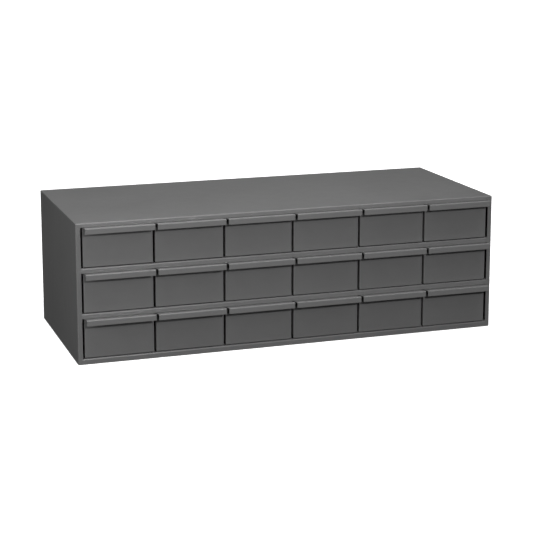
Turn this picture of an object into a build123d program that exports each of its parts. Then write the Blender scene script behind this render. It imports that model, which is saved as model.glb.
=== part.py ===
from build123d import *
import os

os.makedirs("parts", exist_ok=True)

# ---------------------------------------------------------------------------
# Steel small-parts cabinet: three rows of six sheet-metal drawers in one case.
# Millimetres. +X along the front, -Y towards the user, +Z up.
# Origin: on the resting plane, midway across the whole width and midway
# between the foremost handle lip and the rear of the case.
# ---------------------------------------------------------------------------

# grid of the front
COLS = 6
ROWS = 3
PITCH_X = 139.2            # one drawer cell across
PITCH_Z = 87.8             # one drawer row
STILE = 9.1              # width of the two end stiles
RAIL_BASE = 11.3           # height of the bottom rail
RAIL_MID = 9.95            # height of the two middle rails
RAIL_TOP = 8.3             # height of the top rail

# case
CASE_W = 857.25
CASE_H = 273.05
CASE_D = 355.6
T = 0.8                    # case sheet
BEND = 2.0                 # outer bend radius of the case sheet
SHELF_BEND = 3.0           # outer radius between a rail and its deck
REAR_FLANGE = 15.0
BASE_FLANGE = 16.0
BEND_CLEAR = BEND + 0.6    # keeps flat sheets clear of the inside of a bend

# drawer front and its full-width pull
FRONT_W = 134.8
FRONT_T = 0.8
PROUD = 0.0                # front surface ahead of the rails; 0 is flush
PULL_OUT = 21.8            # lip reach ahead of the drawer front
PULL_DROP = 12.2           # height of the lip's down-turned edge
FRONT_LOW = 1.7            # above the shelf
FRONT_TOP = 80.65          # top of the lip above the shelf
FOLD_TOP = 77.25           # where the face turns out, 0.6 below the rail above
PULL_BEND = 2.1
PULL_TRIM = 0.4            # the pull is cut back a little at both ends
TOP_BEND = 1.3
FACE_BEND = 1.3
HEM = 5.0
SIDE_RETURN = 10.0         # depth of the flanges that hold the tray
RETURN_LOW = 2.7           # side flanges start this far above the shelf
RETURN_H = 72.6

# drawer tray
TRAY_W = 132.8
TRAY_T = 0.6
TRAY_H = 68.0
TRAY_LIFT = 1.1            # tray floor above the shelf
BEAD_W = 6.0               # two beads pressed down in the floor run on the shelf
BEAD_DROP = 0.9
BEAD_X = 44.0              # from the tray's middle to each bead
TRAY_BEND = 1.2
REAR_GAP = 7.0             # free space behind a closed drawer
BACK_SET = 10.0            # back wall stands this far ahead of the tray's end
TRAVEL = 275.0             # closed to caught by the stop ears
EAR_L = 30.0
EAR_TOP = 82.6             # above the shelf
STOP_CLEAR = 0.3

# partitions between drawers
PART_W = 3.2
PART_T = 0.6
PART_SET = 14.0            # set back from the front plane

# derived places
OVERALL_D = CASE_D + PROUD + PULL_OUT
YF = -OVERALL_D / 2 + PROUD + PULL_OUT     # plane of rails and stiles
YB = OVERALL_D / 2                         # rear plane
YM = (YF + YB) / 2
X0 = -COLS * PITCH_X / 2                   # first cell boundary
IN_W = CASE_W - 2 * STILE                  # clear width between stiles
Y_BACK_IN = YB - 2 * T                     # inner face of the back panel
Y_TRAY_END = Y_BACK_IN - T - REAR_GAP
Y_PLATE = YF - PROUD                       # front surface of drawer fronts
Y_PLATE_IN = Y_PLATE + FRONT_T             # rear surface of drawer fronts
Y_TRAY_0 = Y_PLATE_IN + 3.0                # front end of the trays


def row_z(row):
    return RAIL_BASE + PITCH_Z * row


def col_x(col):
    return X0 + PITCH_X * (col + 0.5)


# ---------------------------------------------------------------------------
# case: top and both sides from one wrapped sheet, with stiles and a top rail
# turned in at the front, flanges at the rear and along the bottom of the sides
# ---------------------------------------------------------------------------
with BuildPart() as case_shell:
    with BuildSketch(Plane.XY):
        with Locations((0, YM)):
            Rectangle(CASE_W, CASE_D)
    extrude(amount=CASE_H)
    bends = (
        case_shell.edges().filter_by(Axis.Z)
        + case_shell.edges().filter_by(Axis.X).group_by(Axis.Z)[-1]
        + case_shell.edges().filter_by(Axis.Y).group_by(Axis.Z)[-1]
    )
    fillet(bends, radius=BEND)
    offset(amount=-T, openings=case_shell.faces().sort_by(Axis.Z)[0])
    # front window between the stiles and under the top rail
    with BuildSketch(Plane.XZ.offset(-(YF + 4))):
        with Locations((0, (CASE_H - RAIL_TOP) / 2 - 1)):
            Rectangle(IN_W, CASE_H - RAIL_TOP + 2)
    extrude(amount=6, mode=Mode.SUBTRACT)
    # rear window inside the rear flanges
    with BuildSketch(Plane.XZ.offset(-(YB + 2))):
        with Locations((0, (CASE_H - REAR_FLANGE) / 2 - 1)):
            Rectangle(CASE_W - 2 * REAR_FLANGE, CASE_H - REAR_FLANGE + 2)
    extrude(amount=6, mode=Mode.SUBTRACT)
    # flanges turned in under the sides, on which the case rests
    with BuildSketch(Plane.XY):
        for s in (-1, 1):
            with Locations((s * (CASE_W / 2 - (T + BASE_FLANGE) / 2), YM)):
                Rectangle(BASE_FLANGE - T, CASE_D - 2 * BEND_CLEAR)
    extrude(amount=T)
case_shell.part.label = "case_shell"
export_step(case_shell.part, "parts/case_shell.step")

# back panel: flat sheet welded against the rear flanges from inside
with BuildPart() as back_panel:
    with BuildSketch(Plane.XZ.offset(-(YB - T))):
        with Locations((0, (CASE_H - BEND_CLEAR) / 2 + 0.2)):
            Rectangle(CASE_W - 2 * BEND_CLEAR, CASE_H - BEND_CLEAR - 0.4)
    extrude(amount=T)
back_panel.part.label = "back_panel"
export_step(back_panel.part, "parts/back_panel.step")

# ---------------------------------------------------------------------------
# shelves: deck under each row, with a front rail, a rear flange and two side
# flanges turned down
# ---------------------------------------------------------------------------
for shelf_name, row in (("bottom_shelf", 0), ("lower_shelf", 1), ("upper_shelf", 2)):
    zt = row_z(row)
    rail = RAIL_BASE if row == 0 else RAIL_MID
    side_low = T if row == 0 else 0.0
    with BuildPart() as shelf:
        with BuildSketch(Plane.YZ.offset(-(IN_W / 2 - 0.05))) as section:
            with Locations(((YF + Y_BACK_IN) / 2, zt - rail / 2)):
                Rectangle(Y_BACK_IN - YF, rail)
            fillet(section.vertices().group_by(Axis.Y)[-1], radius=SHELF_BEND)
            with BuildSketch(Plane.YZ.offset(-(IN_W / 2 - 0.05)), mode=Mode.SUBTRACT) as inner:
                with Locations(((YF + Y_BACK_IN) / 2, zt - rail / 2 - T)):
                    Rectangle(Y_BACK_IN - YF - 2 * T, rail)
                fillet(inner.vertices().group_by(Axis.Y)[-1], radius=SHELF_BEND - T)
        extrude(amount=IN_W - 0.1)
        # deck reaches out to the case sides behind the stiles
        with BuildSketch(Plane.XY.offset(zt - T)):
            for s in (-1, 1):
                with Locations((s * (IN_W / 2 + (STILE - T) / 2 - 1), (YF + Y_BACK_IN) / 2)):
                    Rectangle(STILE - T + 2, Y_BACK_IN - YF - 2 * SHELF_BEND - 0.4)
        extrude(amount=T)
        with BuildSketch(Plane.XY.offset(zt - rail + side_low)):
            for s in (-1, 1):
                with Locations((s * (CASE_W / 2 - 1.5 * T), YM)):
                    Rectangle(T, CASE_D - 2 * BEND_CLEAR)
        extrude(amount=rail - side_low)
    shelf.part.label = shelf_name
    export_step(shelf.part, "parts/" + shelf_name + ".step")

# ---------------------------------------------------------------------------
# partitions: sheet folded like a hairpin, standing between shelf and shelf,
# closed fold to the front; one at each cell boundary of every row
# ---------------------------------------------------------------------------
PART_Y0 = YF + PART_SET
PART_Y1 = Y_BACK_IN - SHELF_BEND - 0.3
with BuildPart() as drawer_partitions:
    for row in range(ROWS):
        with BuildSketch(Plane.XY.offset(row_z(row))) as hairpins:
            for k in range(COLS + 1):
                with Locations((X0 + PITCH_X * k, (PART_Y0 + PART_Y1) / 2)):
                    Rectangle(PART_W, PART_Y1 - PART_Y0)
            fillet(hairpins.vertices().group_by(Axis.Y)[0], radius=PART_W / 2 - 0.05)
            with BuildSketch(Plane.XY.offset(row_z(row)), mode=Mode.SUBTRACT) as cores:
                for k in range(COLS + 1):
                    with Locations((X0 + PITCH_X * k, (PART_Y0 + PART_Y1) / 2 + PART_T)):
                        Rectangle(PART_W - 2 * PART_T, PART_Y1 - PART_Y0)
                fillet(cores.vertices().group_by(Axis.Y)[0], radius=PART_W / 2 - PART_T - 0.05)
        cell_top = row_z(row + 1) if row < ROWS - 1 else CASE_H
        extrude(amount=cell_top - T - row_z(row))
drawer_partitions.part.label = "drawer_partitions"
export_step(drawer_partitions.part, "parts/drawer_partitions.step")

# ---------------------------------------------------------------------------
# drawers: tray (floor and sides), back wall, and front with full-width pull
# ---------------------------------------------------------------------------
for row in range(ROWS):
    for col in range(COLS):
        xc = col_x(col)
        zr = row_z(row)
        tag = "_r%dc%d" % (row + 1, col + 1)

        # tray: floor and two sides folded from one sheet
        with BuildPart() as drawer_tray:
            cross = Plane(origin=(xc, Y_TRAY_END, zr + TRAY_LIFT), x_dir=(1, 0, 0), z_dir=(0, -1, 0))
            with BuildSketch(cross) as tray_section:
                with Locations((0, TRAY_H / 2)):
                    Rectangle(TRAY_W, TRAY_H)
                fillet(tray_section.vertices().group_by(Axis.Y)[0], radius=TRAY_BEND)
                with BuildSketch(cross, mode=Mode.SUBTRACT) as tray_hollow:
                    with Locations((0, TRAY_H / 2 + TRAY_T)):
                        Rectangle(TRAY_W - 2 * TRAY_T, TRAY_H)
                    fillet(tray_hollow.vertices().group_by(Axis.Y)[0], radius=TRAY_BEND - TRAY_T)
            extrude(amount=Y_TRAY_END - Y_TRAY_0)
            # runner beads pressed down along the floor
            bead_y0 = Y_TRAY_0 + SIDE_RETURN + 4
            bead_y1 = Y_TRAY_END - BACK_SET - 12
            for s in (-1, 1):
                with BuildSketch(Plane.XY.offset(zr + TRAY_LIFT - BEAD_DROP)):
                    with Locations((xc + s * BEAD_X, (bead_y0 + bead_y1) / 2)):
                        SlotOverall(bead_y1 - bead_y0, BEAD_W, rotation=90)
                extrude(amount=BEAD_DROP)
                with BuildSketch(Plane.XY.offset(zr + TRAY_LIFT - BEAD_DROP + TRAY_T)):
                    with Locations((xc + s * BEAD_X, (bead_y0 + bead_y1) / 2)):
                        SlotOverall(bead_y1 - bead_y0 - 2 * TRAY_T, BEAD_W - 2 * TRAY_T, rotation=90)
                extrude(amount=BEAD_DROP + 0.2, mode=Mode.SUBTRACT)
            # stop ears rise from both sides and catch behind the rail above
            ear_y0 = YF + T + STOP_CLEAR + TRAVEL
            for s in (-1, 1):
                x_ear = xc + s * (TRAY_W / 2) - (TRAY_T if s > 0 else 0)
                with BuildSketch(Plane.YZ.offset(x_ear)) as ear:
                    with BuildLine():
                        Polyline(
                            (ear_y0, zr + TRAY_H - 4),
                            (ear_y0, zr + EAR_TOP),
                            (ear_y0 + EAR_L - 10, zr + EAR_TOP),
                            (ear_y0 + EAR_L, zr + TRAY_LIFT + TRAY_H),
                            (ear_y0 + EAR_L, zr + TRAY_H - 4),
                            close=True,
                        )
                    make_face()
                    fillet(ear.vertices().group_by(Axis.Y)[-1], radius=3)
                extrude(amount=TRAY_T)
        drawer_tray.part.label = "drawer_tray" + tag
        export_step(drawer_tray.part, "parts/drawer_tray" + tag + ".step")

        # back wall: plate between the sides, flanges turned to the rear
        with BuildPart() as drawer_back:
            z_floor = zr + TRAY_LIFT + TRAY_T
            back_h = TRAY_H - TRAY_T
            back_w = TRAY_W - 2 * TRAY_T - 0.1
            behind = Plane(origin=(xc, Y_TRAY_END, z_floor), x_dir=(1, 0, 0), z_dir=(0, -1, 0))
            with BuildSketch(behind) as back_outline:
                with Locations((0, back_h / 2)):
                    Rectangle(back_w, back_h)
                fillet(back_outline.vertices().group_by(Axis.Y)[0], radius=TRAY_BEND)
            extrude(amount=BACK_SET + TRAY_T)
            with BuildSketch(behind) as back_hollow:
                with Locations((0, back_h / 2 + TRAY_T)):
                    Rectangle(back_w - 2 * TRAY_T, back_h)
                fillet(back_hollow.vertices().group_by(Axis.Y)[0], radius=TRAY_BEND - TRAY_T)
            extrude(amount=BACK_SET, mode=Mode.SUBTRACT)
        drawer_back.part.label = "drawer_back" + tag
        export_step(drawer_back.part, "parts/drawer_back" + tag + ".step")

        # front: face, pull lip with hemmed edge, and returns that hold the tray
        with BuildPart() as drawer_front:
            # the pull's top rises from the fold towards the lip
            z_top = zr + FRONT_TOP
            z_fold = zr + FOLD_TOP
            y_lip = Y_PLATE - PULL_OUT
            rise = (FRONT_TOP - FOLD_TOP) / (PULL_OUT + FRONT_T)
            under = FRONT_T * (1 + rise * rise) ** 0.5
            z_lip_in = z_top - rise * FRONT_T - under
            z_fold_in = z_fold + rise * FRONT_T - under
            with BuildSketch(Plane.YZ.offset(xc - FRONT_W / 2)) as profile:
                with BuildLine():
                    Polyline(
                        (Y_PLATE_IN, zr + FRONT_LOW),
                        (Y_PLATE_IN, z_fold),
                        (y_lip, z_top),
                        (y_lip, z_top - PULL_DROP),
                        (y_lip + 2 * FRONT_T, z_top - PULL_DROP),
                        (y_lip + 2 * FRONT_T, z_top - PULL_DROP + HEM),
                        (y_lip + FRONT_T, z_top - PULL_DROP + HEM),
                        (y_lip + FRONT_T, z_lip_in),
                        (Y_PLATE, z_fold_in),
                        (Y_PLATE, zr + FRONT_LOW),
                        close=True,
                    )
                make_face()
                # corners of the profile, by their place along its two axes
                for y_c, z_c, r_c in (
                    (y_lip, z_top, PULL_BEND),
                    (Y_PLATE_IN, z_fold, TOP_BEND),
                    (y_lip + FRONT_T, z_lip_in, PULL_BEND - FRONT_T),
                    (Y_PLATE, z_fold_in, TOP_BEND - FRONT_T),
                    (y_lip, z_top - PULL_DROP, FRONT_T - 0.05),
                    (y_lip + 2 * FRONT_T, z_top - PULL_DROP, FRONT_T - 0.05),
                    (Y_PLATE, zr + FRONT_LOW, FRONT_T - 0.05),
                ):
                    fillet(profile.vertices().sort_by_distance((y_c, z_c, 0))[0], radius=r_c)
            extrude(amount=FRONT_W)
            with BuildSketch(Plane.XY.offset(z_top - PULL_DROP - 1)):
                for s in (-1, 1):
                    with Locations((xc + s * FRONT_W / 2, (y_lip + Y_PLATE - TOP_BEND) / 2 - 1)):
                        Rectangle(2 * PULL_TRIM, Y_PLATE - TOP_BEND - y_lip + 2)
            extrude(amount=PULL_DROP + 2, mode=Mode.SUBTRACT)
            # bottom return lies on the tray floor
            with BuildSketch(Plane.XY.offset(zr + FRONT_LOW)):
                with Locations((xc, Y_PLATE_IN + (SIDE_RETURN - FRONT_T) / 2)):
                    Rectangle(TRAY_W - 2 * TRAY_T - 2.4, SIDE_RETURN - FRONT_T)
            extrude(amount=FRONT_T)
            # side returns lie outside the tray sides; the sheet bends round
            # at both ends of the face between two notches
            with BuildSketch(Plane.XY.offset(zr + RETURN_LOW)):
                for s in (-1, 1):
                    with Locations((xc + s * (FRONT_W / 2 - 1), Y_PLATE + FRONT_T / 2)):
                        Rectangle(2.2, FRONT_T + 0.4)
            extrude(amount=RETURN_H, mode=Mode.SUBTRACT)
            with BuildSketch(Plane.XY.offset(zr + RETURN_LOW)) as returns:
                with Locations((xc, Y_PLATE + SIDE_RETURN / 2)):
                    Rectangle(FRONT_W, SIDE_RETURN)
                fillet(returns.vertices().group_by(Axis.Y)[0], radius=FACE_BEND)
                with BuildSketch(Plane.XY.offset(zr + RETURN_LOW), mode=Mode.SUBTRACT) as return_gap:
                    with Locations((xc, Y_PLATE + FRONT_T + SIDE_RETURN / 2)):
                        Rectangle(FRONT_W - 2 * FRONT_T, SIDE_RETURN)
                    fillet(return_gap.vertices().group_by(Axis.Y)[0], radius=FACE_BEND - FRONT_T)
            extrude(amount=RETURN_H)
        drawer_front.part.label = "drawer_front" + tag
        export_step(drawer_front.part, "parts/drawer_front" + tag + ".step")
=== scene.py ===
import math

import bmesh
import bpy
from mathutils import Matrix, Vector

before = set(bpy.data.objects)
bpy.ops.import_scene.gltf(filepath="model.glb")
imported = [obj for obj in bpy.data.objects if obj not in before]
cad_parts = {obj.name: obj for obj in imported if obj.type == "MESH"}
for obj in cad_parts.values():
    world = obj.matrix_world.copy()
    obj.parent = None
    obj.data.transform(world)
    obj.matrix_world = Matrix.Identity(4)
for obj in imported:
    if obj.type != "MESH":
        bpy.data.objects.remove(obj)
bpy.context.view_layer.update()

scene = bpy.context.scene

# ---------------------------------------------------------------------------
# sizes of the part that the finishes refer to, in metres
# ---------------------------------------------------------------------------
COLS, ROWS = 6, 3
PITCH_X, PITCH_Z = 0.1392, 0.0878
CASE_W, CASE_H, CASE_D = 0.85725, 0.27305, 0.3556
Y_FRONT = -0.1669              # plane of the rails and stiles
Y_MID = Y_FRONT + CASE_D / 2

# ---------------------------------------------------------------------------
# camera: a long lens at the left front, a little above the top
# ---------------------------------------------------------------------------
cam_data = bpy.data.cameras.new("camera")
cam = bpy.data.objects.new("camera", cam_data)
scene.collection.objects.link(cam)
scene.camera = cam
cam_data.sensor_fit = "HORIZONTAL"
cam_data.sensor_width = 36.0
cam_data.lens = 1558.46 / 533 * 36.0
cam_data.shift_x = 0.0
cam_data.shift_y = -80.0 / 533
cam_data.clip_start = 0.05
cam_data.clip_end = 60.0
right = Vector((0.94813, -0.31788, -0.00076)).normalized()
back = Vector((-0.31229, -0.93188, 0.18461)).normalized()
up = back.cross(right).normalized()
right = up.cross(back).normalized()
turn = Matrix((right, up, back)).transposed().to_4x4()
cam.matrix_world = Matrix.Translation(Vector((-0.99113, -2.97419 + Y_MID, 0.87509))) @ turn


# ---------------------------------------------------------------------------
# node helpers
# ---------------------------------------------------------------------------
class Net:
    def __init__(self, material):
        self.t = material.node_tree
        self.t.nodes.clear()

    def add(self, kind, **props):
        n = self.t.nodes.new(kind)
        for k, v in props.items():
            setattr(n, k, v)
        return n

    def link(self, a, b):
        self.t.links.new(a, b)

    def put(self, socket, value):
        if hasattr(value, "is_output"):
            self.t.links.new(value, socket)
        else:
            socket.default_value = value

    def math(self, op, a, b=None, c=None, clamp=False):
        n = self.add("ShaderNodeMath", operation=op, use_clamp=clamp)
        for i, v in enumerate((a, b, c)):
            if v is not None:
                self.put(n.inputs[i], v)
        return n.outputs[0]

    def noise(self, vector, scale, detail=2.0, rough=0.5, distort=0.0):
        n = self.add("ShaderNodeTexNoise")
        n.noise_dimensions = "3D"
        self.link(vector, n.inputs["Vector"])
        n.inputs["Scale"].default_value = scale
        n.inputs["Detail"].default_value = detail
        n.inputs["Roughness"].default_value = rough
        n.inputs["Distortion"].default_value = distort
        return n.outputs["Fac"]

    def remap(self, value, a, b, c, d, clamp=True):
        n = self.add("ShaderNodeMapRange", clamp=clamp)
        self.put(n.inputs["Value"], value)
        n.inputs["From Min"].default_value = a
        n.inputs["From Max"].default_value = b
        n.inputs["To Min"].default_value = c
        n.inputs["To Max"].default_value = d
        return n.outputs["Result"]

    def mix(self, fac, a, b):
        n = self.add("ShaderNodeMix", data_type="RGBA", blend_type="MIX")
        self.put(n.inputs[0], fac)
        self.put(n.inputs[6], a)
        self.put(n.inputs[7], b)
        return n.outputs[2]


def grey(v, a=1.0):
    return (v, v, v, a)


def painted(name, base, rough, seed, wear=0.35, scuff=0.0, peel=0.10):
    """Satin enamel on sheet steel: orange peel, slight tone drift, dust in the
    roughness, rubbed bends, and rub marks along the slide direction."""
    m = bpy.data.materials.new(name)
    m.use_nodes = True
    n = Net(m)
    out = n.add("ShaderNodeOutputMaterial")
    b = n.add("ShaderNodeBsdfPrincipled")
    n.link(b.outputs["BSDF"], out.inputs["Surface"])
    co = n.add("ShaderNodeTexCoord").outputs["Object"]
    shift = n.add("ShaderNodeMapping")
    n.link(co, shift.inputs["Vector"])
    shift.inputs["Location"].default_value = (seed, seed * 0.37, seed * 0.71)
    p = shift.outputs["Vector"]

    broad = n.noise(p, 5.0, 3.0, 0.55)
    cloud = n.noise(p, 38.0, 4.0, 0.6)
    fine = n.noise(p, 900.0, 2.0, 0.6)
    tone = n.math("MULTIPLY_ADD", n.math("SUBTRACT", broad, 0.5), 0.10, 1.0)
    tone = n.math("MULTIPLY_ADD", n.math("SUBTRACT", cloud, 0.5), 0.06, tone)
    tone = n.math("MULTIPLY_ADD", n.math("SUBTRACT", fine, 0.5), 0.05, tone)
    value = n.math("MULTIPLY", tone, base)

    # rubbed bends and cut edges
    bevel = n.add("ShaderNodeBevel", samples=6)
    bevel.inputs["Radius"].default_value = 0.0011
    geo = n.add("ShaderNodeNewGeometry")
    dot = n.add("ShaderNodeVectorMath", operation="DOT_PRODUCT")
    n.link(bevel.outputs["Normal"], dot.inputs[0])
    n.link(geo.outputs["Normal"], dot.inputs[1])
    edge = n.remap(dot.outputs["Value"], 0.985, 0.80, 0.0, 1.0)
    broken = n.remap(n.noise(p, 140.0, 5.0, 0.65), 0.50, 0.66, 0.0, 1.0)
    rub = n.math("MULTIPLY", n.math("MULTIPLY", edge, broken), wear, clamp=True)

    col = n.add("ShaderNodeCombineColor")
    for i in range(3):
        n.link(value, col.inputs[i])
    tint = n.mix(rub, col.outputs["Color"], grey(base * 2.1))

    r = n.math("MULTIPLY_ADD", n.math("SUBTRACT", cloud, 0.5), 0.10, rough)
    r = n.math("MULTIPLY_ADD", n.math("SUBTRACT", broad, 0.5), 0.08, r)
    r = n.math("MULTIPLY_ADD", rub, -0.08, r)

    if scuff > 0:
        stretch = n.add("ShaderNodeMapping")
        n.link(co, stretch.inputs["Vector"])
        stretch.inputs["Scale"].default_value = (240.0, 5.0, 240.0)
        streak = n.noise(stretch.outputs["Vector"], 1.0, 4.0, 0.6)
        marks = n.math("MULTIPLY", n.remap(streak, 0.56, 0.72, 0.0, 1.0), scuff)
        tint = n.mix(marks, tint, grey(base * 1.5))
        r = n.math("MULTIPLY_ADD", marks, -0.10, r)

    n.link(tint, b.inputs["Base Color"])
    n.link(r, b.inputs["Roughness"])
    b.inputs["IOR"].default_value = 1.47

    # orange peel over a faint waviness of the sheet
    wavy = n.noise(p, 9.0, 1.0, 0.4)
    peel_h = n.noise(p, 520.0, 2.0, 0.5)
    height = n.math("MULTIPLY_ADD", wavy, 6.0, peel_h)
    bump = n.add("ShaderNodeBump")
    bump.inputs["Strength"].default_value = peel
    bump.inputs["Distance"].default_value = 0.0003
    n.link(height, bump.inputs["Height"])
    n.link(bump.outputs["Normal"], b.inputs["Normal"])
    return m


BASE = 0.135
case_mat = painted("enamel_case", BASE, 0.34, 3.0)
front_mat = painted("enamel_front", BASE, 0.34, 11.0, wear=0.45)
tray_mat = painted("enamel_tray", BASE * 0.97, 0.46, 23.0, wear=0.4, scuff=0.35)
part_mat = painted("enamel_partition", BASE * 0.95, 0.48, 31.0, wear=0.4, scuff=0.4)


def dress(obj, material):
    if obj.data.materials:
        for i in range(len(obj.data.materials)):
            obj.data.materials[i] = material
    else:
        obj.data.materials.append(material)


for name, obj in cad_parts.items():
    if name.startswith("drawer_front"):
        dress(obj, front_mat)
    elif name == "drawer_partitions":
        dress(obj, part_mat)
    elif name.startswith("drawer_"):
        dress(obj, tray_mat)
    else:
        dress(obj, case_mat)

# ---------------------------------------------------------------------------
# stage: pale floor and soft light
# ---------------------------------------------------------------------------
floor_mesh = bpy.data.meshes.new("floor")
R = 14.0
floor_mesh.from_pydata([(-R, -R, 0), (R, -R, 0), (R, R, 0), (-R, R, 0)], [], [(0, 1, 2, 3)])
floor = bpy.data.objects.new("floor", floor_mesh)
floor.location = (0, 0, -0.0006)
scene.collection.objects.link(floor)
fm = bpy.data.materials.new("floor_white")
fm.use_nodes = True
fn = Net(fm)
fo = fn.add("ShaderNodeOutputMaterial")
fb = fn.add("ShaderNodeBsdfPrincipled")
fb.inputs["Base Color"].default_value = (0.90, 0.90, 0.90, 1)
fb.inputs["Roughness"].default_value = 0.9
fb.inputs["Specular IOR Level"].default_value = 0.1
fb.inputs["Emission Color"].default_value = (1, 1, 1, 1)
away = fn.add("ShaderNodeVectorMath", operation="LENGTH")
fn.link(fn.add("ShaderNodeTexCoord").outputs["Object"], away.inputs[0])
fn.link(fn.remap(away.outputs["Value"], 0.7, 2.2, 0.75, 1.05), fb.inputs["Emission Strength"])
fn.link(fb.outputs["BSDF"], fo.inputs["Surface"])
floor_mesh.materials.append(fm)
floor.visible_diffuse = False
floor.visible_glossy = False

# a white dome that only the camera sees
dome_bm = bmesh.new()
bmesh.ops.create_uvsphere(dome_bm, u_segments=48, v_segments=24, radius=R - 0.5)
for v in dome_bm.verts:
    v.co.z = max(v.co.z, -0.05)
bmesh.ops.reverse_faces(dome_bm, faces=dome_bm.faces)
dome_mesh = bpy.data.meshes.new("backdrop")
dome_bm.to_mesh(dome_mesh)
dome_bm.free()
dome = bpy.data.objects.new("backdrop", dome_mesh)
scene.collection.objects.link(dome)
dm = bpy.data.materials.new("backdrop_white")
dm.use_nodes = True
dn = Net(dm)
do = dn.add("ShaderNodeOutputMaterial")
de = dn.add("ShaderNodeEmission")
de.inputs["Color"].default_value = (1, 1, 1, 1)
de.inputs["Strength"].default_value = 1.0
dn.link(de.outputs["Emission"], do.inputs["Surface"])
dome_mesh.materials.append(dm)
for flag in ("visible_diffuse", "visible_glossy", "visible_transmission", "visible_volume_scatter", "visible_shadow"):
    setattr(dome, flag, False)

world = bpy.data.worlds.new("world")
scene.world = world
world.use_nodes = True
world.node_tree.nodes["Background"].inputs["Color"].default_value = (1, 1, 1, 1)
world.node_tree.nodes["Background"].inputs["Strength"].default_value = 0.012


def area(name, at, aim, size, power, size_y=None):
    d = bpy.data.lights.new(name, "AREA")
    d.shape = "RECTANGLE"
    d.size = size
    d.size_y = size_y or size
    d.energy = power
    o = bpy.data.objects.new(name, d)
    scene.collection.objects.link(o)
    o.location = at
    o.rotation_euler = (Vector(aim) - Vector(at)).to_track_quat("-Z", "Y").to_euler()
    return o


area("overhead", (0.0, 0.2, 2.4), (0, 0, 0.1), 3.0, 6.5, 2.4)
area("behind_top", (0.0, 1.6, 1.8), (0, 0, 0.2), 2.4, 15.2, 0.8)
area("overhead_front", (0.0, -0.6876, 2.0719), (0, -0.17, 0.14), 2.4, 30.2, 0.5)
area("front_high", (0.0, -1.17, 1.8721), (0, -0.17, 0.14), 2.4, 4.8, 0.5)
area("front_left_high", (-0.3504, -1.8184, 1.5541), (0, -0.17, 0.14), 0.8, 1.2, 0.3)
area("key", (0.05, -2.07, 0.95), (0, -0.17, 0.14), 0.12, 18.2, 0.12)
area("left", (-2.2, -0.6, 0.9), (0, 0, 0.15), 1.0, 14.8, 1.0)
area("left_front", (-1.5, -1.5, 0.7), (-0.2, -0.17, 0.14), 0.7, 12.5, 0.7)
area("front_low", (-0.2, -2.4, 0.25), (0, -0.17, 0.14), 1.2, 1.7, 0.4)
area("right_rear", (2.6, 1.3, 0.8), (0.3, 0.1, 0.14), 1.2, 13.0, 1.0)

scene.view_settings.view_transform = "Standard"
scene.view_settings.look = "None"
scene.view_settings.exposure = 0.0
scene.view_settings.gamma = 1.0
